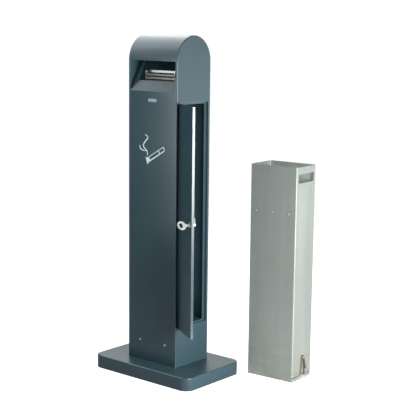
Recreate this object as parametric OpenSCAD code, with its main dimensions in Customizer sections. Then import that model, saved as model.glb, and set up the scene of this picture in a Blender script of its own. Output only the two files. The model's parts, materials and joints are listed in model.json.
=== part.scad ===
// Free-standing ashtray bin: a sheet-metal post on a weighted base, with a smokers' mouth at
// the top, a locked door in its right-hand side and a lift-out galvanised liner.
// Millimetres, +Z up. The origin is on the floor, under the middle of the base.
// -Y is the front, where the mouth is; +X is the side that the door opens on.

/* [Base] */
// Width of the base, along X
base_w = 376; // [340:1:420]
// Depth of the base, along Y
base_d = 246; // [230:1:280]
// Height of the base above the floor
base_h = 40; // [34:1:60]
// Radius of the base's upright corners
base_corner_r = 30; // [15:1:45]

/* [Column] */
// Width of the column, along X
column_w = 188; // [184:1:200]
// Depth of the column, along Y
column_d = 145; // [144:1:150]
// Height of the dome's top above the floor
total_h = 1000; // [990:1:1020]
// Thickness of the column's sheet
sheet_t = 1.5; // [1.2:0.1:2]
// How far the column stands left of the base's middle
column_shift_x = -2; // [-6:1:6]
// How far the column stands behind the base's middle
column_shift_y = 7; // [0:1:10]

/* [Mouth] */
// Height of the fold where the front panel starts to lean back
fold_z = 840; // [836:1:846]
// Angle that the mouth panel leans back
mouth_lean = 27; // [24:1:30]
// Width of the window in the mouth panel
window_w = 136; // [120:1:140]
// Number of stubbing bars
bar_count = 4; // [3:1:4]

/* [Door] */
// Angle that the door stands open at
door_open = 120.5; // [90:0.5:124]
// Height of the door opening's lower edge
door_z0 = 155; // [153:1:158]
// Height of the door opening's upper edge
door_z1 = 811; // [806:1:812]
// Height of the lock
lock_z = 481; // [300:1:700]

/* [Liner] */
// Length of the liner, along X
liner_w = 156; // [140:1:158]
// Depth of the liner, along Y
liner_d = 104; // [90:1:105]
// Height of the liner
liner_h = 633; // [500:1:636]
// Where the liner's front left foot stands, along X
liner_x = 199; // [197:1:260]
// Where the liner's front left foot stands, along Y
liner_y = 141; // [130:1:200]
// Angle that the liner stands turned, away from the post
liner_turn = 4; // [0:1:10]

/* [Hidden] */

$fn = 48;
eps = 0.01;

paint = [0.22, 0.29, 0.32];
zinc = [0.66, 0.69, 0.68];
steel = [0.72, 0.72, 0.70];

// base
mat_t = 3;
plate_t = 12;
cover_t = 2;
cover_gap = 1.5;
cover_edge_r = 4;
base_inset = 14;
bolt_r = 5;
base_bolt_x = [40, 148];
base_bolt_y = [36, 109];

// column, measured from its left front corner
column_x = column_shift_x - column_w / 2;
column_y = column_shift_y - column_d / 2;
spring_z = total_h - column_d / 2;
rim_w = 7;
bend_r = 2.2;
column_bolt_x = [47.5, 145];
column_bolt_z = 100.6;
column_bolt_r = 3;
bracket_t = 4;
bracket_top = 150;
shelf_z = 161;
shelf_t = 1.5;
label_w = 32;
label_h = 9.5;
label_z = 815;
label_t = 0.9;

// mouth: distances run up the leaning panel from the fold
window_low = 33;
window_high = 96;
mouth_len = 116;
window_x = (column_w - window_w) / 2;

// stubbing grid: an upright comb of bars, measured from the column's front and from the fold
grid_y = 31.5;
grid_w = 112;
bar_h = 6;
bar_pitch = 9.4;
bar_t = 2;
bar_top = 49;
rail_y = 46;
rail_low = 52;
rail_w = 6.6;
rail_lean = 15;
lug_w = 10;
lug_h = 11;
lug_low = window_low - 14;

// door, measured from its hinge axis with the door shut
strip_w = 8.5;
rear_cut = 136.8;
frame_t = 1.2;
rebate_depth = 8;
rebate_w = 9;
rebate_edge = 5.5;
rebate_start = 26;
frame_depth = 11.3;
hinge_in = 3;
hinge_back = 6.3;
door_t = 7;
door_skin = 1.2;
door_gap = 1.5;
door_tail = 4.8;
door_free = rear_cut - 1 - strip_w - hinge_back;
pin_r = 1.6;
pin_clear = 0.05;
bush_r = 2.4;
bush_h = 4;
notch_y = 3.5;
notch_h = 5.5;

// lock, measured from the door's outer face
lock_from_edge = 15;
lock_r = 6;
plug_r = 4.6;
lock_depth = 12;
cam_seat = lock_depth + 0.2;
lock_flange_r = 8;
lock_flange_t = 2;
nut_flats = 15;
cam_len = 20.5;
cam_t = 1.8;
blade_w = 6.2;
blade_t = 2;
blade_len = 10;
slot_gap = 0.35;
key_bow_r = 11.9;
key_bow_spread = 2.7;
key_turn = 48;
key_shank = 10.4;
key_shank_w = 7.6;

// liner, measured from its left front foot
wall = 1;
liner_bend = 3;
left_cut = 9;
right_cut = 12.5;
tray_h = 10.5;
rivet_x = [17.5, 74, 130.5];
rivet_z = 497.5;
hand_w = 84;
hand_h = 26;
hand_z = liner_h - 33.5;
rod = [5, 4.2];
rod_r = 2;
knuckle_r = 3.6;
latch_y = liner_d / 2;
latch_x = liner_w + 4;
latch_z = 13;
latch_top = 66;
wire_r = 1.5;
pull_r = 2.2;
latch_half = 10;
ear_t = 1.6;
stud_r = 2.4;

// ---------- shared shapes ----------

module in_column() translate([column_x, column_y, 0]) children();

// x: out of the door, y: towards its free edge, at the angle the door stands open
module on_door()
    in_column()
        translate([column_w - hinge_in, strip_w + hinge_back, 0])
            rotate([0, 0, -door_open])
                children();

// z: out of the door along the lock's axis, x: down
module on_lock()
    on_door()
        translate([hinge_in, door_free - lock_from_edge, lock_z])
            rotate([0, 90, 0])
                children();

module at_liner() translate([liner_x, liner_y, 0]) rotate([0, 0, liner_turn]) children();

// rectangle with round corners, from circles and squares so that the rounds stay true
module round_rect(w, d, r) {
    translate([r, 0]) square([w - 2 * r, d]);
    translate([0, r]) square([w, d - 2 * r]);
    for (x = [r, w - r], y = [r, d - r]) translate([x, y]) circle(r);
}

// block on z = 0 with round upright corners and a round top edge
module soft_block(w, d, h, r, edge) {
    linear_extrude(h - edge) round_rect(w, d, r);
    translate([edge, edge, 0]) linear_extrude(h) round_rect(w - 2 * edge, d - 2 * edge, r - edge);
    for (x = [edge, w - edge])
        translate([x, r, h - edge]) rotate([-90, 0, 0]) cylinder(r = edge, h = d - 2 * r);
    for (y = [edge, d - edge])
        translate([r, y, h - edge]) rotate([0, 90, 0]) cylinder(r = edge, h = w - 2 * r);
    for (x = [r, w - r], y = [r, d - r])
        translate([x, y, h - edge]) rotate_extrude() translate([r - edge, 0]) circle(edge);
}

// points of a quarter bend about a centre
function arc(c, r, a0, a1, n = 5) =
    [for (i = [0:n]) c + r * [cos(a0 + (a1 - a0) * i / n), sin(a0 + (a1 - a0) * i / n)]];

// hexagon measured across its flats
module hexagon(flats) circle(r = flats / 2 / cos(30), $fn = 6);

// ---------- base ----------

module on_base(w, d, z) translate([-w / 2, -d / 2, z]) children();

module rubber_mat() {
    w = base_w - 2 * base_inset - 16;
    d = base_d - 2 * base_inset - 16;
    color("black") on_base(w, d, 0) linear_extrude(mat_t) round_rect(w, d, base_corner_r - 14);
}

module base_holes(r, z, h)
    in_column()
        for (x = base_bolt_x, y = base_bolt_y) translate([x, y, z]) cylinder(r = r, h = h);

module base_plate() {
    w = base_w - 2 * base_inset;
    d = base_d - 2 * base_inset;
    color("dimgray") difference() {
        on_base(w, d, mat_t) linear_extrude(plate_t) round_rect(w, d, base_corner_r - 8);
        base_holes(bolt_r, mat_t + 2, plate_t);
    }
}

module spacer_tubes() {
    low = mat_t + plate_t;
    color("silver") difference() {
        base_holes(9, low, base_h - cover_t - low);
        base_holes(bolt_r + 0.3, low - 1, base_h);
    }
}

module base_cover()
    color(paint) difference() {
        on_base(base_w, base_d, cover_gap)
            soft_block(base_w, base_d, base_h - cover_gap, base_corner_r, cover_edge_r);
        on_base(base_w - 2 * cover_t, base_d - 2 * cover_t, -1)
            soft_block(base_w - 2 * cover_t, base_d - 2 * cover_t, base_h - cover_t + 1,
                base_corner_r - cover_t, cover_edge_r - cover_t);
        base_holes(bolt_r + 0.3, base_h - 8, 12);
    }

module foot_bracket()
    color("gray") difference() {
        in_column() {
            translate([25, sheet_t, base_h])
                cube([column_w - 50, column_d - 2 * sheet_t, bracket_t]);
            for (y = [sheet_t, column_d - sheet_t - bracket_t])
                translate([25, y, base_h]) cube([column_w - 50, bracket_t, bracket_top - base_h]);
        }
        base_holes(bolt_r + 0.3, base_h - 1, 12);
        column_bolt_holes(column_bolt_r);
    }

module base_bolts()
    color(steel) {
        base_holes(bolt_r, mat_t + 2, base_h + bracket_t - mat_t - 1);
        in_column()
            for (x = base_bolt_x, y = base_bolt_y)
                translate([x, y, base_h + bracket_t]) {
                    cylinder(r = 9.5, h = 1.6);
                    linear_extrude(8) hexagon(16);
                }
    }

// ---------- column ----------

module column_bolt_holes(r)
    in_column()
        for (x = column_bolt_x)
            translate([x, -20, column_bolt_z]) rotate([-90, 0, 0]) cylinder(r = r, h = column_d + 40);

// section of a side panel's folded rim: u runs out from the middle, x in from the outer face
module rim_section(u)
    difference() {
        polygon(concat([[0, 0]], arc([u - bend_r, bend_r], bend_r, -90, 0), [[u, rim_w], [0, rim_w]]));
        polygon(concat([[-1, sheet_t]],
            arc([u - bend_r, bend_r], bend_r - sheet_t, -90, 0),
            [[u - sheet_t, rim_w + 1], [-1, rim_w + 1]]));
    }

module side_pan() {
    half = column_d / 2;
    translate([0, half, spring_z]) rotate([90, 0, 90])
        rotate_extrude(angle = 180, $fn = 96) rim_section(half);
    translate([0, half, base_h]) linear_extrude(spring_z - base_h)
        for (s = [0, 1]) mirror([0, s]) rotate(90) mirror([0, 1]) rim_section(half);
}

module left_side_panel() color(paint) in_column() side_pan();

module right_side_panel()
    color(paint) in_column() difference() {
        translate([column_w, 0, 0]) mirror([1, 0, 0]) side_pan();
        translate([column_w - 5, strip_w - frame_t, door_z0 - frame_t])
            cube([10, rear_cut - strip_w + 2 * frame_t, door_z1 - door_z0 + 2 * frame_t]);
        bush_seats() cylinder(r = bush_r, h = bush_h);
    }

// moves its children on to the leaning mouth panel: y is into the panel, z up along it
module on_mouth()
    in_column() translate([0, 0, fold_z]) rotate([-mouth_lean, 0, 0]) children();

module mouth_window()
    on_mouth() translate([window_x, -5, window_low]) rotate([90, 0, 0]) mirror([0, 0, 1])
        linear_extrude(12) round_rect(window_w, window_high - window_low, 3);

// the front's folded profile, in the plane across the column
module front_profile(low, high) {
    inner = bend_r - sheet_t;
    c = [bend_r, fold_z - bend_r * tan(mouth_lean / 2)];
    lean = [sin(mouth_lean), cos(mouth_lean)];
    across = [cos(mouth_lean), -sin(mouth_lean)];
    polygon(concat([[sheet_t, low], [0, low]],
        arc(c, bend_r, 180, 180 - mouth_lean),
        [[0, fold_z] + high * lean, [0, fold_z] + high * lean + sheet_t * across],
        arc(c, inner, 180 - mouth_lean, 180)));
}

module front_panel()
    color(paint) difference() {
        union() {
            in_column() translate([rim_w, 0, 0]) rotate([90, 0, 90])
                linear_extrude(column_w - 2 * rim_w) front_profile(base_h, 8);
            on_mouth() translate([sheet_t, 0, 4])
                cube([column_w - 2 * sheet_t, sheet_t, mouth_len - 4]);
            on_mouth() translate([sheet_t, 0, mouth_len - sheet_t])
                cube([column_w - 2 * sheet_t, 12, sheet_t]);
        }
        mouth_window();
        column_bolt_holes(column_bolt_r);
    }

module back_and_roof_panel() {
    half = column_d / 2;
    color(paint) difference() {
        in_column() {
            translate([rim_w, column_d - sheet_t, base_h])
                cube([column_w - 2 * rim_w, sheet_t, spring_z - base_h]);
            translate([rim_w, half, spring_z]) rotate([90, 0, 90])
                linear_extrude(column_w - 2 * rim_w) difference() {
                    circle(half, $fn = 96);
                    circle(half - sheet_t, $fn = 96);
                    translate([-column_d, -2 * column_d]) square(2 * column_d);
                }
            translate([rim_w, 0, spring_z]) cube([column_w - 2 * rim_w, 10, sheet_t]);
        }
        column_bolt_holes(column_bolt_r);
    }
}

module door_frame() {
    open_w = rear_cut - strip_w;
    open_h = door_z1 - door_z0;
    color(paint) in_column() difference() {
        union() {
            translate([column_w - frame_depth, strip_w - frame_t, door_z0 - frame_t])
                difference() {
                    cube([frame_depth, open_w + 2 * frame_t, open_h + 2 * frame_t]);
                    translate([-1, frame_t, frame_t]) cube([frame_depth + 2, open_w, open_h]);
                }
            translate([column_w - rebate_depth - frame_t, rebate_start, door_z0 - eps])
                difference() {
                    cube([frame_t, rear_cut - rebate_start + eps, open_h + 2 * eps]);
                    translate([-1, -1, rebate_edge])
                        cube([4, rear_cut - rebate_w - rebate_start + 1, open_h - 2 * rebate_edge]);
                }
        }
        hinge_line() cylinder(r = bush_r, h = total_h);
    }
}

module hinge_line() translate([column_w - hinge_in, strip_w + hinge_back, 0]) children();

// where the two hinge bushes stand, above and below the door opening
module bush_seats()
    hinge_line() for (z = [door_z1, door_z0 - bush_h]) translate([0, 0, z]) children();

// hopper that leads butts from the mouth into the liner
module butt_chute() {
    low = door_z1 + 3;
    high = fold_z - 4;
    module frustum(g, z0, z1)
        hull() {
            translate([14 + g, 24 + g, z0]) cube([column_w - 46 - 2 * g, column_d - 46 - 2 * g, eps]);
            translate([sheet_t + g, sheet_t + g, z1])
                cube([column_w - 2 * (sheet_t + g), column_d - 2 * (sheet_t + g), eps]);
        }
    color(zinc) in_column() difference() {
        frustum(0, low, high);
        frustum(1.2, low - eps, high + eps);
    }
}

// ---------- stubbing grid ----------

module grid_stud_span(r, y, h)
    on_mouth()
        for (s = [-1, 1])
            translate([(column_w + s * (grid_w + lug_w)) / 2, y, window_low - 8])
                rotate([-90, 0, 0]) cylinder(r = r, h = h);

// a point on the leaning panel, as a depth behind it and a distance up it, in the column's own
// depth and height above the fold
function leaning(depth, up) = [depth * cos(mouth_lean) + up * sin(mouth_lean),
    up * cos(mouth_lean) - depth * sin(mouth_lean)];

// end plate: an arm from the lug, an upright edge behind the bars and a foot for the rail
module cheek_outline() {
    back = grid_y + bar_t + 1;
    polygon([leaning(sheet_t, lug_low), leaning(sheet_t, lug_low + lug_h), [grid_y, 22],
        [grid_y, 57], [rail_y + 4, rail_low + 6.8],
        [rail_y + 4, rail_low - 3], [back, bar_top - 5], [back, 10], [grid_y, 10]]);
}

module stub_grid() {
    x0 = (column_w - grid_w) / 2;
    color(steel) difference() {
        union() {
            in_column() translate([x0, 0, fold_z]) {
                for (i = [0:bar_count - 1])
                    translate([0, grid_y, bar_top - bar_h - i * bar_pitch])
                        cube([grid_w, bar_t, bar_h]);
                translate([0, rail_y, rail_low]) rotate([-rail_lean, 0, 0])
                    cube([grid_w, bar_t, rail_w]);
                for (x = [0, grid_w - bar_t])
                    translate([x, 0, 0]) rotate([90, 0, 90]) linear_extrude(bar_t) cheek_outline();
            }
            on_mouth()
                for (x = [x0 - lug_w, x0 + grid_w])
                    translate([x, sheet_t, lug_low]) cube([lug_w, bar_t, lug_h]);
        }
        grid_stud_span(1.5, 0, 10);
    }
}

// studs welded behind the mouth panel, with nuts that hold the grid
module grid_studs()
    color(steel) {
        grid_stud_span(1.5, sheet_t, bar_t + 4);
        grid_stud_span(3, sheet_t + bar_t, 2.4);
    }

// ---------- shelf, bolts and trim ----------

module liner_shelf()
    color(zinc) in_column() {
        translate([sheet_t + 0.5, sheet_t, shelf_z - shelf_t])
            cube([column_w - frame_depth - sheet_t - 1.5, column_d - 2 * sheet_t, shelf_t]);
        for (y = [sheet_t, column_d - 2 * sheet_t])
            translate([25, y, bracket_top])
                cube([column_w - 50, shelf_t, shelf_z - shelf_t - bracket_top + eps]);
    }

module column_bolts()
    color(steel) in_column()
        for (x = column_bolt_x, s = [0, 1])
            translate([x, s * column_d, column_bolt_z]) rotate([s ? 90 : -90, 0, 0]) {
                difference() {
                    translate([0, 0, -2.6]) intersection() {
                        cylinder(r = 4, h = 2.6);
                        translate([0, 0, 5]) sphere(r = 5);
                    }
                    translate([0, 0, -3]) linear_extrude(1.9) hexagon(3.5);
                }
                translate([0, 0, -0.4]) cylinder(r = column_bolt_r, h = sheet_t + bracket_t + 8);
            }

module column_nuts()
    color(steel) in_column()
        for (x = column_bolt_x, s = [0, 1])
            translate([x, s * column_d, column_bolt_z]) rotate([s ? 90 : -90, 0, 0])
                translate([0, 0, sheet_t + bracket_t]) linear_extrude(5) difference() {
                    hexagon(10);
                    circle(column_bolt_r);
                }

module hinge_bushes()
    color("goldenrod") in_column() bush_seats() difference() {
        cylinder(r = bush_r, h = bush_h);
        translate([0, 0, -1]) cylinder(r = pin_r + pin_clear, h = bush_h + 2);
    }

module label_plate()
    color("lightgray") in_column() translate([(column_w - label_w) / 2, 0, label_z - label_h / 2])
        rotate([90, 0, 0]) linear_extrude(label_t) round_rect(label_w, label_h, 2);

module label_rivets()
    color("silver") in_column()
        for (s = [-1, 1])
            translate([column_w / 2 + s * (label_w / 2 - 3), -label_t, label_z])
                rotate([90, 0, 0]) cylinder(r = 1.2, h = 0.5);

// Catmull-Rom curve through a list of points
function spline(p, k = 6) = [for (i = [1:len(p) - 3], j = [0:k - 1]) let (t = j / k)
    0.5 * (2 * p[i] + (p[i + 1] - p[i - 1]) * t
        + (2 * p[i - 1] - 5 * p[i] + 4 * p[i + 1] - p[i + 2]) * t * t
        + (3 * p[i] - p[i - 1] - 3 * p[i + 1] + p[i + 2]) * t * t * t)];

// brush stroke along a curve, widest in its middle
module stroke(points, width) {
    c = spline(points);
    n = len(c) - 1;
    function side(i, s) = let (
        d = c[min(i + 1, n)] - c[max(i - 1, 0)],
        w = width * (0.62 + 0.38 * sin(180 * i / n)) / 2)
        c[i] + s * w * [-d[1], d[0]] / norm(d);
    polygon([for (i = [0:n]) side(i, 1), for (i = [n:-1:0]) side(i, -1)]);
}

module smoking_symbol() {
    smoke = [[76, 650], [74, 655], [75.5, 662], [71, 670], [62, 677], [59, 684], [64, 693],
        [72, 701], [76.5, 707], [73, 712], [64, 715], [58, 716]];
    wisp = [[76, 667], [68, 668], [58, 669], [49, 672.5], [45, 678], [46.5, 684], [49, 689]];
    color("white") in_column() rotate([90, 0, 0]) linear_extrude(0.3) {
        translate([72, 640]) rotate(30.5) difference() {
            polygon([[-3, -11], [5, -8], [75, -8], [79.5, -4.5], [79.5, 6.5], [5, 6.5], [2, 12]]);
            translate([13, -4.3]) square([41, 8.6]);
            translate([57, -4.3]) square([19, 8.6]);
        }
        stroke(smoke, 3.6);
        stroke(wisp, 3.2);
    }
}

// ---------- door ----------

// the door's lower hinge corner, stepped back so that its pin stands clear
module hinge_notch(grow)
    translate([-door_t, -door_tail - 1, door_z0 + door_gap - 1])
        cube([2 * door_t, door_tail + 1 + notch_y + grow, notch_h + 1 + grow]);

module door_pan() {
    z0 = door_z0 + door_gap;
    h = door_z1 - door_z0 - 2 * door_gap;
    color(paint) difference() {
        on_door() difference() {
            translate([hinge_in - door_t, -door_tail, z0]) cube([door_t, door_tail + door_free, h]);
            difference() {
                translate([hinge_in - door_t - 1, door_skin - door_tail, z0 + door_skin])
                    cube([door_t - door_skin + 1, door_tail + door_free - 2 * door_skin, h - 2 * door_skin]);
                hinge_notch(door_skin);
            }
            hinge_notch(0);
            translate([0, 0, z0 - 1]) cylinder(r = pin_r, h = h + 2);
        }
        on_lock() translate([0, 0, -5]) cylinder(r = lock_r, h = 10);
    }
}

module hinge_pins() {
    z0 = door_z0 + door_gap;
    z1 = door_z1 - door_gap;
    reach = door_gap + bush_h;
    color(steel) on_door() {
        translate([0, 0, z1 - 8]) cylinder(r = pin_r, h = 8 + reach);
        translate([0, 0, z0 - reach]) cylinder(r = pin_r, h = reach + notch_h + door_skin + 1);
    }
}

module lock_body()
    color(steel) on_lock() difference() {
        union() {
            cylinder(r = lock_flange_r, h = lock_flange_t - 0.8);
            cylinder(r = lock_flange_r - 0.8, h = lock_flange_t);
            translate([0, 0, -lock_depth]) cylinder(r = lock_r, h = lock_depth + 1);
        }
        translate([0, 0, -lock_depth - 1]) cylinder(r = plug_r + pin_clear, h = lock_depth + 5);
    }

module lock_nut()
    color(steel) on_lock() translate([0, 0, -door_skin - 4]) linear_extrude(4) difference() {
        hexagon(nut_flats);
        circle(lock_r);
    }

module lock_plug()
    color("silver") on_lock() difference() {
        union() {
            translate([0, 0, -cam_seat]) cylinder(r = plug_r, h = cam_seat + lock_flange_t - 0.4);
            translate([0, 0, -cam_seat - cam_t]) cylinder(r = 3, h = cam_t + 1);
        }
        rotate(key_turn) translate([-blade_w / 2 - slot_gap, -blade_t / 2 - slot_gap, -blade_len])
            cube([blade_w + 2 * slot_gap, blade_t + 2 * slot_gap, blade_len + 5]);
        translate([0, 0, -cam_seat - cam_t - 1]) cylinder(r = 1.2, h = cam_t + 2);
    }

module lock_cam()
    color(steel) on_lock() translate([0, 0, -cam_seat - cam_t]) linear_extrude(cam_t) difference() {
        union() {
            circle(5);
            translate([-cam_len + 4, -4.2]) square([cam_len - 4, 8.4]);
            translate([-cam_len + 4, 0]) circle(4.2);
        }
        circle(3);
    }

module cam_screw()
    color(steel) on_lock() translate([0, 0, -cam_seat - cam_t]) {
        difference() {
            translate([0, 0, -2.2]) cylinder(r = 4, h = 2.2);
            translate([-5, -0.5, -2.8]) cube([10, 1, 1.5]);
        }
        cylinder(r = 1.2, h = cam_t + 1);
    }

// circle of radius r, drawn out sideways by spread to each side
module oval(r, spread) {
    for (s = [-1, 1]) translate([s * spread, 0]) circle(r);
    translate([-spread, -r]) square([2 * spread, 2 * r]);
}

// flat key: oval bow with an oval eye, shank and blade, all in one plane through the lock's axis
module door_key() {
    bow_z = lock_flange_t + key_shank + key_bow_r;
    shoulder = lock_flange_t + 0.8;
    color("lightgray") on_lock() rotate(key_turn) rotate([90, 0, 0])
        translate([0, 0, -blade_t / 2]) linear_extrude(blade_t) difference() {
            union() {
                translate([0, bow_z]) oval(key_bow_r, key_bow_spread);
                translate([-blade_w / 2, -blade_len + slot_gap])
                    square([blade_w, shoulder + blade_len]);
                translate([-key_shank_w / 2, shoulder]) square([key_shank_w, bow_z - shoulder - 5]);
            }
            translate([0, bow_z + 2]) oval(4.7, 4.2);
            for (k = [0:2])
                translate([blade_w / 2 + 0.3, -8.4 + 3 * k]) rotate(45) square(1.9, center = true);
        }
}

// ---------- liner ----------

module liner_ring() difference() {
    round_rect(liner_w, liner_d, liner_bend);
    translate([wall, wall]) round_rect(liner_w - 2 * wall, liner_d - 2 * wall, liner_bend - wall);
}

module rivet_line(r, y, h)
    for (x = rivet_x) translate([x, y, rivet_z]) rotate([-90, 0, 0]) cylinder(r = r, h = h);

module liner_shell()
    color(zinc) at_liner() difference() {
        linear_extrude(liner_h) liner_ring();
        translate([-1, -1, -1]) cube([liner_bend + 0.5, liner_d + 2, left_cut + 1]);
        translate([liner_w - liner_bend + 0.5, -1, -1])
            cube([liner_bend + 1, liner_d + 2, right_cut + 1]);
        translate([liner_w - 5, (liner_d - hand_w) / 2, hand_z - hand_h / 2])
            rotate([90, 0, 90]) linear_extrude(10) round_rect(hand_w, hand_h, 7);
        rivet_line(2, -1, 3);
        translate([rod[0], -1, rod[1]]) rotate([-90, 0, 0]) cylinder(r = rod_r, h = liner_d + 2);
        translate([liner_w - 5, latch_y, latch_top]) rotate([0, 90, 0]) cylinder(r = stud_r, h = 10);
    }

module stiffener_strip()
    color(zinc) at_liner() difference() {
        translate([8, wall, rivet_z - 12]) cube([liner_w - 16, 1.5, 24]);
        rivet_line(2, 0, 5);
    }

module liner_rivets()
    color(zinc) at_liner() {
        rivet_line(2, -0.5, wall + 2.5);
        for (x = rivet_x) translate([x, 0, rivet_z]) rotate([90, 0, 0]) intersection() {
            cylinder(r = 4, h = 1.5);
            translate([0, 0, -4.3]) sphere(r = 5.8);
        }
        rivet_line(3, wall + 1.5, 0.9);
    }

module flap_hinge_rod()
    color(steel) at_liner() translate([rod[0], 0, rod[1]]) rotate([-90, 0, 0]) {
        translate([0, 0, -1.4]) cylinder(r = rod_r, h = liner_d + 2.8);
        translate([0, 0, -1.4]) cylinder(r = 3.2, h = 1.4);
        translate([0, 0, liner_d]) cylinder(r = 3.2, h = 1.4);
    }

module latch_stud()
    color(steel) at_liner() translate([liner_w - wall, latch_y, latch_top]) rotate([0, 90, 0]) {
        cylinder(r = stud_r, h = 8);
        translate([0, 0, -1.2]) cylinder(r = 4, h = 1.2);
    }

module liner_flap() {
    inside = wall + 0.5;
    color(zinc) at_liner() difference() {
        union() {
            translate([rod[0], inside, 0]) cube([liner_w - wall / 2 - rod[0], liner_d - 2 * inside, wall]);
            intersection() {
                linear_extrude(tray_h) liner_ring();
                translate([liner_w - liner_bend + 0.9, -1, -1]) cube([liner_bend + 1, liner_d + 2, 20]);
            }
            for (y = [6, liner_d - 34])
                translate([rod[0], y, rod[1]]) rotate([-90, 0, 0]) cylinder(r = knuckle_r, h = 28);
        }
        translate([rod[0], -1, rod[1]]) rotate([-90, 0, 0])
            cylinder(r = rod_r + pin_clear, h = liner_d + 2);
        bracket_pins(1.2, liner_w - 5, 10);
    }
}

module bracket_pins(r, x, h)
    for (s = [-1, 1])
        translate([x, latch_y + s * 5, 5.5]) rotate([0, 90, 0]) cylinder(r = r, h = h);

module latch_bracket()
    color(steel) at_liner() difference() {
        union() {
            translate([liner_w, latch_y - latch_half - 3 - ear_t, 1])
                cube([1.2, 2 * (latch_half + 3 + ear_t), 9]);
            for (s = [-1, 1])
                translate([liner_w, latch_y + s * (latch_half + 3 + ear_t / 2) - ear_t / 2, 1]) {
                    cube([6.4, ear_t, 9]);
                    translate([0.6, 0, 1]) cube([5.8, ear_t, latch_z + 2]);
                }
        }
        translate([latch_x, 0, latch_z]) rotate([-90, 0, 0])
            cylinder(r = wire_r + pin_clear, h = liner_d);
        bracket_pins(1.2, liner_w - 1, 5);
    }

module bracket_rivets()
    color(steel) at_liner() {
        bracket_pins(1.2, liner_w - wall - 0.4, wall + 2);
        bracket_pins(2.2, liner_w + 1.2, 0.8);
        bracket_pins(2, liner_w - wall - 0.8, 0.8);
    }

// round bar between two points
module rod_between(a, b, r) {
    d = b - a;
    translate(a) rotate([0, acos(d[2] / norm(d)), atan2(d[1], d[0])]) cylinder(r = r, h = norm(d));
}

// wire bail that pivots in the bracket's ears and passes over the stud, with a finger pull
module latch_wire() {
    loop_r = stud_r + 1 + wire_r;
    loop_z = latch_top + 0.2;
    ear = latch_half + 3 + ear_t + 1;
    color(steel) at_liner() translate([latch_x, latch_y, 0]) {
        translate([0, 0, loop_z]) rotate([90, 0, 90]) rotate_extrude(angle = 180)
            translate([loop_r, 0]) circle(wire_r, $fn = 32);
        for (s = [-1, 1]) {
            rod_between([0, s * loop_r, loop_z], [0, s * latch_half, latch_z], wire_r);
            rod_between([0, s * latch_half, latch_z], [0, s * ear, latch_z], wire_r);
            for (p = [[0, s * loop_r, loop_z], [0, s * latch_half, latch_z]]) translate(p) sphere(r = wire_r);
        }
        pull = [[0, loop_r + 0.6, loop_z - 3], [0, latch_half + 6, latch_z + 17]];
        rod_between(pull[0], pull[1], pull_r);
        for (p = pull) translate(p) sphere(r = pull_r);
    }
}

rubber_mat();
base_plate();
spacer_tubes();
base_cover();
foot_bracket();
base_bolts();
left_side_panel();
right_side_panel();
front_panel();
back_and_roof_panel();
door_frame();
butt_chute();
stub_grid();
grid_studs();
liner_shelf();
column_bolts();
column_nuts();
hinge_bushes();
label_plate();
label_rivets();
smoking_symbol();
door_pan();
hinge_pins();
lock_body();
lock_nut();
lock_plug();
lock_cam();
cam_screw();
door_key();
liner_shell();
stiffener_strip();
liner_rivets();
flap_hinge_rod();
latch_stud();
liner_flap();
latch_bracket();
bracket_rivets();
latch_wire();
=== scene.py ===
"""Looks of the ashtray bin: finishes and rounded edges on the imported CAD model, in a plain studio.

Everything is in metres in the CAD's own frame: +Z up, -Y the front with the mouth, +X the door side.
"""

import json
import math

import bpy
from mathutils import Matrix, Vector

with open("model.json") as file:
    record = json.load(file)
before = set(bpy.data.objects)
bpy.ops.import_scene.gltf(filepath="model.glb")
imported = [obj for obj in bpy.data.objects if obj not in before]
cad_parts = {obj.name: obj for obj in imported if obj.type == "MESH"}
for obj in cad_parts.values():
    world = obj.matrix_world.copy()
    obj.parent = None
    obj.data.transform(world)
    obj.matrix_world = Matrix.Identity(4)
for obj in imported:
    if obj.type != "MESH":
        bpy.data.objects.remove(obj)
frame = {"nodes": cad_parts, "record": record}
bpy.context.view_layer.update()

MM = 0.001


def rgb(red, green, blue):
    return (red, green, blue, 1.0)


# ---------- node helpers ----------

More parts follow.
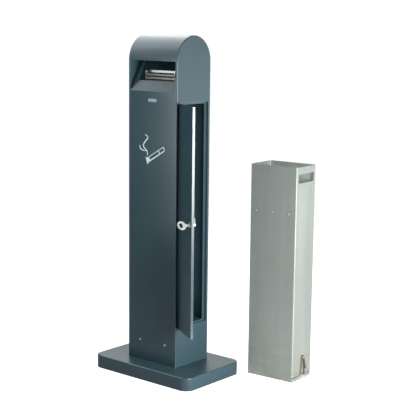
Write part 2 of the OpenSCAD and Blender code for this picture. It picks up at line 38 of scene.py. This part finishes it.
class Finish:
    """A Principled material and short ways to build the textures that feed it."""

    # a Mix node's colour sockets, by number, because its number and vector sockets have the same names
    MIX_FIRST = 6
    MIX_SECOND = 7
    MIX_RESULT = 2

    def __init__(self, name, **constants):
        self.material = bpy.data.materials.new(name)
        self.material.use_nodes = True
        self.tree = self.material.node_tree
        self.shader = self.tree.nodes["Principled BSDF"]
        for socket, value in constants.items():
            self.shader.inputs[socket.replace("_", " ")].default_value = value
        self.place = self.node("ShaderNodeTexCoord").outputs["Object"]

    def node(self, kind, **settings):
        made = self.tree.nodes.new(kind)
        for key, value in settings.items():
            setattr(made, key, value)
        return made

    def feed(self, socket, source):
        """Links source to a socket, or sets it where source is a plain value."""
        if isinstance(source, bpy.types.NodeSocket):
            self.tree.links.new(source, socket)
        else:
            socket.default_value = source

    def coordinates(self, scale):
        """The object's coordinates, multiplied by scale along each axis where there is one."""
        if scale is None:
            return self.place
        mapping = self.node("ShaderNodeMapping")
        self.feed(mapping.inputs["Vector"], self.place)
        mapping.inputs["Scale"].default_value = scale
        return mapping.outputs["Vector"]

    def noise(self, per_metre, detail=2.0, scale=None):
        """Noise from 0 to 1 with per_metre waves in a metre. A scale under 1 draws it out along that axis."""
        made = self.node("ShaderNodeTexNoise")
        self.feed(made.inputs["Vector"], self.coordinates(scale))
        made.inputs["Scale"].default_value = per_metre
        made.inputs["Detail"].default_value = detail
        return made.outputs["Fac"]

    def cells(self, per_metre, scale=None):
        """A random grey for each crystal-like cell."""
        made = self.node("ShaderNodeTexVoronoi", feature="F1")
        self.feed(made.inputs["Vector"], self.coordinates(scale))
        made.inputs["Scale"].default_value = per_metre
        grey = self.node("ShaderNodeSeparateColor")
        self.feed(grey.inputs["Color"], made.outputs["Color"])
        return grey.outputs["Red"]

    def height(self):
        """Height above the floor."""
        made = self.node("ShaderNodeSeparateXYZ")
        self.feed(made.inputs["Vector"], self.place)
        return made.outputs["Z"]

    def span(self, source, low, high, start=0.0, end=1.0):
        """Maps source from start..end on to low..high."""
        made = self.node("ShaderNodeMapRange")
        self.feed(made.inputs["Value"], source)
        for socket, value in (("From Min", start), ("From Max", end), ("To Min", low), ("To Max", high)):
            made.inputs[socket].default_value = value
        return made.outputs["Result"]

    def sum(self, *sources):
        total = sources[0]
        for source in sources[1:]:
            made = self.node("ShaderNodeMath", operation="ADD")
            self.feed(made.inputs[0], total)
            self.feed(made.inputs[1], source)
            total = made.outputs[0]
        return total

    def product(self, first, second):
        made = self.node("ShaderNodeMath", operation="MULTIPLY")
        self.feed(made.inputs[0], first)
        self.feed(made.inputs[1], second)
        return made.outputs[0]

    def blend(self, share, first, second):
        """A colour between first, where share is 0, and second, where it is 1."""
        made = self.node("ShaderNodeMix", data_type="RGBA")
        self.feed(made.inputs["Factor"], share)
        self.feed(made.inputs[self.MIX_FIRST], first)
        self.feed(made.inputs[self.MIX_SECOND], second)
        return made.outputs[self.MIX_RESULT]

    def overlaid(self, base, colour, most, source, start, end):
        """Colour over base: none of it where source is at start, and a share of most where it is at end."""
        return self.blend(self.span(source, 0.0, most, start, end), base, colour)

    def edge_wear_and_highlight(self, base, colour, most, radius):
        """Colour over base on edges, by how far a normal rounded over radius turns from the true one; used
        both for real edge wear and for painted highlights along edges.
        """
        rounded = self.node("ShaderNodeBevel", samples=6)
        rounded.inputs["Radius"].default_value = radius
        true = self.node("ShaderNodeNewGeometry")
        agreement = self.node("ShaderNodeVectorMath", operation="DOT_PRODUCT")
        self.feed(agreement.inputs[0], rounded.outputs["Normal"])
        self.feed(agreement.inputs[1], true.outputs["True Normal"])
        on_edge, on_flat = 0.75, 0.99
        edge = self.span(agreement.outputs["Value"], 1.0, 0.0, on_edge, on_flat)
        return self.overlaid(base, colour, most, edge, 0.0, 1.0)

    def relief(self, *layers):
        """Bumps the surface by each (height source, depth in metres), one after the other."""
        normal = None
        for source, depth in layers:
            bump = self.node("ShaderNodeBump")
            bump.inputs["Distance"].default_value = depth
            self.feed(bump.inputs["Height"], source)
            if normal is not None:
                self.feed(bump.inputs["Normal"], normal)
            normal = bump.outputs["Normal"]
        self.feed(self.shader.inputs["Normal"], normal)

    def colour(self, source):
        self.feed(self.shader.inputs["Base Color"], source)

    def roughness(self, source):
        self.feed(self.shader.inputs["Roughness"], source)


# ---------- finishes ----------

ORANGE_PEEL_PER_METRE = 420.0
GRID_RAIL_FOOT = 0.891    # the grid is painted dark brown below this height, partly smoke staining and partly painted shade inside the mouth, and its rail is left clean above it


def powder_coat():
    """Semi-gloss slate-grey powder coat: orange peel, faint clouding, and paler edges, partly a thinner film
    and partly a painted highlight.
    """
    deep, shallow = rgb(0.023, 0.048, 0.061), rgb(0.028, 0.056, 0.070)
    speck, edge_film_and_highlight = rgb(0.043, 0.073, 0.087), rgb(0.19, 0.25, 0.27)
    f = Finish("powder_coat", Specular_IOR_Level=0.5)
    cloud = f.noise(5.0, 3.0)
    base = f.blend(cloud, deep, shallow)
    base = f.overlaid(base, speck, 0.30, f.noise(900.0, 1.0), 0.55, 0.8)
    # paler edges: a thinner film on the edges, and a painted highlight standing in for light caught along
    # rounded edges
    f.colour(f.edge_wear_and_highlight(base, edge_film_and_highlight, 0.5, 1.2 * MM))
    f.roughness(f.sum(f.span(cloud, 0.29, 0.35), f.span(f.noise(60.0), -0.02, 0.02)))
    f.relief((f.noise(ORANGE_PEEL_PER_METRE, 1.0), 0.035 * MM), (f.noise(1500.0), 0.006 * MM))
    return f.material


def galvanised_sheet():
    """Zinc-coated sheet: fine spangle, rolling streaks, dull greenish patches, stains low down, and a painted
    highlight along edges.
    """
    dark_crystal, light_crystal = rgb(0.30, 0.33, 0.31), rgb(0.325, 0.355, 0.335)
    pale_streak, green_patch = rgb(0.41, 0.435, 0.415), rgb(0.25, 0.30, 0.265)
    yellow_stain, bright_edge = rgb(0.42, 0.42, 0.33), rgb(0.56, 0.59, 0.57)
    stained_below, clean_above = 0.02, 0.16
    f = Finish("galvanised_sheet", Metallic=0.6)
    spangle = f.cells(300.0, (1.0, 1.0, 0.7))
    streak = f.noise(30.0, 3.0, (1.0, 1.0, 0.08))
    patch = f.noise(9.0, 3.0, (1.0, 1.0, 0.4))
    stain = f.span(f.noise(16.0, 4.0, (0.6, 0.6, 1.6)), 0.0, 0.6, 0.42, 0.60)
    low = f.span(f.height(), 1.0, 0.0, stained_below, clean_above)
    base = f.blend(spangle, dark_crystal, light_crystal)
    base = f.overlaid(base, pale_streak, 0.4, streak, 0.35, 0.70)
    base = f.overlaid(base, green_patch, 0.5, patch, 0.42, 0.68)
    base = f.blend(f.product(stain, low), base, yellow_stain)
    # edges made paler: a painted highlight standing in for light caught along the sheet's edges and folds
    f.colour(f.edge_wear_and_highlight(base, bright_edge, 0.15, 0.8 * MM))
    f.roughness(f.sum(f.span(spangle, 0.57, 0.62), f.span(patch, -0.03, 0.07), f.span(streak, 0.02, -0.02)))
    f.relief((f.noise(6.0, 1.0), 0.3 * MM), (spangle, 0.003 * MM), (f.noise(1200.0), 0.004 * MM))
    return f.material


def brushed_stainless():
    """Stainless steel brushed along the bars, dark brown below the rail, partly smoke staining and partly
    painted shade inside the mouth, and clean on the rail above them.
    """
    steel_dark, steel_light = rgb(0.62, 0.61, 0.58), rgb(0.80, 0.79, 0.77)
    tar_and_shade_dark, tar_and_shade_light = rgb(0.085, 0.07, 0.055), rgb(0.17, 0.15, 0.125)
    f = Finish("brushed_stainless", Metallic=1.0, Anisotropic=0.4)
    brush = f.noise(60.0, 3.0, (0.6, 30.0, 30.0))
    blotch = f.noise(35.0, 3.0)
    # dark brown below the rail's foot: smoke staining, and painted shade in the recess under the mouth's lip
    smoke_and_shade = f.span(f.height(), 1.0, 0.0, GRID_RAIL_FOOT - 1.5 * MM, GRID_RAIL_FOOT)
    steel = f.blend(brush, steel_dark, steel_light)
    # the tar colour also serves as painted shade
    tar = f.blend(blotch, tar_and_shade_dark, tar_and_shade_light)
    f.colour(f.blend(f.product(smoke_and_shade, f.span(brush, 1.0, 0.85)), steel, tar))
    f.roughness(f.sum(f.span(brush, 0.28, 0.42), f.span(blotch, -0.03, 0.06)))
    f.relief((brush, 0.01 * MM))
    return f.material


def plating(name, dark, light, smooth, rough, metallic):
    """Plating over turned or stamped steel, bright or dulled."""
    bright_edge = rgb(0.85, 0.85, 0.83)
    f = Finish(name, Metallic=metallic)
    film = f.noise(150.0, 3.0)
    f.colour(f.edge_wear_and_highlight(f.blend(film, dark, light), bright_edge, 0.5, 0.4 * MM))
    f.roughness(f.sum(f.span(film, smooth, rough), f.span(f.noise(1400.0), -0.03, 0.04)))
    f.relief((f.noise(1100.0), 0.006 * MM))
    return f.material


def spring_wire():
    """Drawn spring wire, dark brown all over and lightly rusted."""
    dark_wire, light_wire, rust_brown = rgb(0.13, 0.10, 0.065), rgb(0.24, 0.20, 0.15), rgb(0.16, 0.095, 0.05)
    f = Finish("spring_wire", Metallic=0.85)
    rust = f.noise(220.0, 4.0)
    f.colour(f.overlaid(f.blend(rust, dark_wire, light_wire), rust_brown, 0.8, rust, 0.52, 0.75))
    f.roughness(f.span(rust, 0.30, 0.55))
    f.relief((f.noise(1600.0), 0.012 * MM))
    return f.material


def grainy(name, per_metre, detail, dark, light, smooth, rough, depth, **constants):
    """A plain material whose colour, roughness and bumps all follow one fine grain."""
    f = Finish(name, **constants)
    grain = f.noise(per_metre, detail)
    f.colour(f.blend(grain, dark, light))
    f.roughness(f.span(grain, smooth, rough))
    f.relief((grain, depth))
    return f.material


def anodised_label():
    """Blank satin-anodised plate, brushed across."""
    dark_brush, light_brush, bare_edge = rgb(0.15, 0.20, 0.23), rgb(0.28, 0.34, 0.37), rgb(0.66, 0.70, 0.72)
    f = Finish("anodised_label", Metallic=0.75)
    brush = f.noise(80.0, 3.0, (0.5, 1.0, 30.0))
    f.colour(f.edge_wear_and_highlight(f.blend(brush, dark_brush, light_brush), bare_edge, 0.6, 0.5 * MM))
    f.roughness(f.span(brush, 0.44, 0.58))
    f.relief((brush, 0.008 * MM))
    return f.material


def white_vinyl():
    """Cut vinyl film, a little chalky, that follows the paint's orange peel."""
    grey_white, clean_white = rgb(0.58, 0.66, 0.69), rgb(0.72, 0.79, 0.81)
    f = Finish("white_vinyl")
    chalk = f.noise(90.0, 4.0)
    f.colour(f.blend(chalk, grey_white, clean_white))
    f.roughness(f.span(chalk, 0.38, 0.55))
    f.relief((f.noise(ORANGE_PEEL_PER_METRE, 1.0), 0.02 * MM))
    return f.material


FINISHES = {
    "powder_coat": powder_coat(),
    "galvanised_sheet": galvanised_sheet(),
    "stainless": brushed_stainless(),
    "plated_steel": plating("plated_steel", dark=rgb(0.55, 0.56, 0.55), light=rgb(0.72, 0.72, 0.70),
                            smooth=0.27, rough=0.40, metallic=0.7),
    "dull_zinc": plating("dull_zinc", dark=rgb(0.19, 0.205, 0.205), light=rgb(0.36, 0.38, 0.38),
                         smooth=0.35, rough=0.48, metallic=0.5),
    "nickelled": plating("nickelled", dark=rgb(0.50, 0.52, 0.46), light=rgb(0.76, 0.78, 0.71),
                         smooth=0.27, rough=0.40, metallic=0.45),
    "spring_wire": spring_wire(),
    "black_steel": grainy("black_primer", 500.0, 3.0,
                          dark=rgb(0.012, 0.012, 0.013), light=rgb(0.035, 0.035, 0.037),
                          smooth=0.55, rough=0.75, depth=0.03 * MM),
    "rubber": grainy("rubber", 800.0, 4.0,
                     dark=rgb(0.010, 0.010, 0.010), light=rgb(0.026, 0.025, 0.024),
                     smooth=0.72, rough=0.9, depth=0.05 * MM, Specular_IOR_Level=0.3),
    "bronze_bush": grainy("bearing_bronze", 1500.0, 3.0,
                          dark=rgb(0.42, 0.27, 0.11), light=rgb(0.62, 0.44, 0.20),
                          smooth=0.30, rough=0.5, depth=0.01 * MM, Metallic=1.0),
    "blank_label": anodised_label(),
    "white_vinyl": white_vinyl(),
}


# ---------- rounded edges on the CAD's own pieces ----------

# width of the rounding on a node's edges, in millimetres, where it isn't the usual one; 0 is none
EDGE_MM = {
    "door_pan": 0.9,
    "door_frame": 0.8,
    "right_side_panel": 0.6,
    "liner_shell": 0.15,
    "base_cover": 1.2,
    "stub_grid": 0.35,
    "door_key": 0.35,
    "latch_wire": 0.0,
    "smoking_symbol": 0.06,
    "label_plate": 0.25,
    "label_rivets": 0.15,
    "butt_chute": 0.2,
}
USUAL_EDGE_MM = 0.3
WELD_MM = 0.002
FLAT_WITHIN = math.radians(0.4)    # faces that bend by less than this are one flat face
EDGE_FROM = math.radians(32)       # faces that bend by more than this meet in an edge
FACE_AREA_WEIGHT = 80


def soften(node, width):
    """Welds the triangles into clean faces and rounds the edges, all in modifiers."""
    weld = node.modifiers.new("weld", "WELD")
    weld.merge_threshold = WELD_MM * MM
    flat = node.modifiers.new("flat_faces", "DECIMATE")
    flat.decimate_type = "DISSOLVE"
    flat.angle_limit = FLAT_WITHIN
    if width:
        bevel = node.modifiers.new("edges", "BEVEL")
        bevel.width = width
        bevel.segments = 2
        bevel.limit_method = "ANGLE"
        bevel.angle_limit = EDGE_FROM
        bevel.use_clamp_overlap = True
        bevel.harden_normals = True
    normals = node.modifiers.new("normals", "WEIGHTED_NORMAL")
    normals.keep_sharp = True
    normals.weight = FACE_AREA_WEIGHT


slot_of = {row["node"]: row["material_slot"] for row in frame["record"]["subparts"]}
for name, node in frame["nodes"].items():
    node.data.materials.clear()
    node.data.materials.append(FINISHES[slot_of[name]])
    soften(node, EDGE_MM.get(name, USUAL_EDGE_MM) * MM)


# ---------- floor, light and camera ----------

# colours of light
WHITE = (1.0, 1.0, 1.0)
FAINTLY_COOL = (0.90, 0.98, 1.0)
COOL = (0.82, 0.97, 1.0)


def pale_floor():
    """A wide, plain floor that the camera sees as white, but that throws little light back up."""
    half = 20.0
    mesh = bpy.data.meshes.new("floor")
    corners = [(-half, -half, 0), (half, -half, 0), (half, half, 0), (-half, half, 0)]
    mesh.from_pydata(corners, [], [(0, 1, 2, 3)])
    floor = bpy.data.objects.new("floor", mesh)
    bpy.context.scene.collection.objects.link(floor)
    f = Finish("pale_floor", Roughness=0.9, Specular_IOR_Level=0.0)
    f.colour(f.blend(f.noise(2.0), rgb(0.45, 0.45, 0.45), rgb(0.46, 0.46, 0.46)))
    f.shader.inputs["Emission Color"].default_value = rgb(*WHITE)
    f.feed(f.shader.inputs["Emission Strength"], f.node("ShaderNodeLightPath").outputs["Is Camera Ray"])
    mesh.materials.append(f.material)


def softbox(name, place, target, width, height, brightness, colour=WHITE):
    """A rectangular lamp at place that faces target and shines as brightly over each area at any size."""
    light = bpy.data.lights.new(name, "AREA")
    light.shape = "RECTANGLE"
    light.size = width
    light.size_y = height
    light.energy = math.pi * brightness * width * height
    light.color = colour
    lamp = bpy.data.objects.new(name, light)
    bpy.context.scene.collection.objects.link(lamp)
    lamp.location = place
    lamp.rotation_euler = (Vector(target) - Vector(place)).to_track_quat("-Z", "Y").to_euler()
    lamp.visible_camera = False


def soft_studio():
    """Large soft boxes round the post, and small ones that lift its darkest places."""
    middle, head = (0.08, 0.0, 0.5), (0.0, 0.0, 0.95)
    softbox("right_wall", (2.46, 0.0, 0.83), middle, 1.1, 1.1, 3.2)
    softbox("right_low", (2.36, 0.0, 0.22), middle, 1.0, 0.36, 8.0)
    softbox("right_foot", (0.44, -0.12, 0.07), (0.18, -0.04, 0.04), 0.22, 0.08, 7.0)
    softbox("back_low", (0.08, 2.28, 0.22), middle, 1.0, 0.36, 4.0)
    softbox("back_left", (-1.50, 1.70, 1.10), (0.0, 0.0, 0.8), 1.6, 1.1, 1.5)
    softbox("back_right", (2.40, 2.70, 0.50), (0.1, 0.0, 0.5), 3.0, 1.0, 2.0)
    softbox("door_strip", (1.63, -0.38, 0.66), (0.15, -0.1, 0.60), 0.33, 0.74, 60.0)
    softbox("gleam_high", (-0.24, -0.55, 0.80), (0.12, -0.07, 0.85), 0.08, 0.42, 14.2, COOL)
    softbox("gleam_low", (-0.25, -0.55, 0.47), (0.12, -0.07, 0.57), 0.08, 0.26, 7.6, COOL)
    softbox("front_left", (-1.10, -1.15, 1.50), head, 1.0, 0.8, 1.6, FAINTLY_COOL)
    softbox("left_wall", (-1.20, 0.20, 1.95), head, 2.4, 1.2, 4.4, FAINTLY_COOL)
    softbox("inner_fill", (0.07, 0.0, 0.50), (-0.1, 0.0, 0.50), 0.1, 0.6, 2.2)
    softbox("mouth_fill", (0.0, -0.01, 0.94), (0.0, 0.07, 0.90), 0.15, 0.02, 1.4)
    softbox("liner_gleam", (0.40, -0.05, 0.46), (0.35, 0.14, 0.44), 0.05, 0.5, 2.2)
    softbox("liner_fill", (0.298, 0.168, 0.600), (0.293, 0.240, 0.600), 0.09, 0.05, 2.4)


def surroundings():
    """A faint, even light from all round, and white where the camera looks past the floor."""
    world = bpy.data.worlds.new("studio")
    bpy.context.scene.world = world
    world.use_nodes = True
    tree = world.node_tree
    faint = tree.nodes["Background"]
    faint.inputs["Color"].default_value = rgb(0.95, 0.97, 1.0)
    faint.inputs["Strength"].default_value = 0.045
    backdrop = tree.nodes.new("ShaderNodeBackground")
    backdrop.inputs["Color"].default_value = rgb(*WHITE)
    backdrop.inputs["Strength"].default_value = 1.0
    mix = tree.nodes.new("ShaderNodeMixShader")
    path = tree.nodes.new("ShaderNodeLightPath")
    tree.links.new(path.outputs["Is Camera Ray"], mix.inputs["Fac"])
    tree.links.new(faint.outputs["Background"], mix.inputs[1])
    tree.links.new(backdrop.outputs["Background"], mix.inputs[2])
    tree.links.new(mix.outputs["Shader"], tree.nodes["World Output"].inputs["Surface"])
    bpy.context.scene.view_settings.view_transform = "Standard"


def photo_camera():
    """A long lens, a little above the post's top, from its front right corner."""
    place = Vector((2.1784, -2.4352, 1.0499))
    yaw = math.radians(39.81)      # from the front, round towards the door side
    pitch = math.radians(9.54)     # down from level
    roll = math.radians(0.68)      # the camera's right side up
    back = Vector((math.sin(yaw) * math.cos(pitch), -math.cos(yaw) * math.cos(pitch), math.sin(pitch)))
    level = (-back).cross(Vector((0, 0, 1))).normalized()
    upright = level.cross(-back)
    right = level * math.cos(roll) + upright * math.sin(roll)
    up = upright * math.cos(roll) - level * math.sin(roll)
    data = bpy.data.cameras.new("camera")
    data.sensor_width = 36.0
    data.lens = 97.98
    camera = bpy.data.objects.new("camera", data)
    bpy.context.scene.collection.objects.link(camera)
    turn = Matrix((right, up, back)).transposed().to_4x4()
    camera.matrix_world = Matrix.Translation(place) @ turn
    bpy.context.scene.camera = camera


pale_floor()
soft_studio()
surroundings()
photo_camera()

bpy.context.view_layer.update()
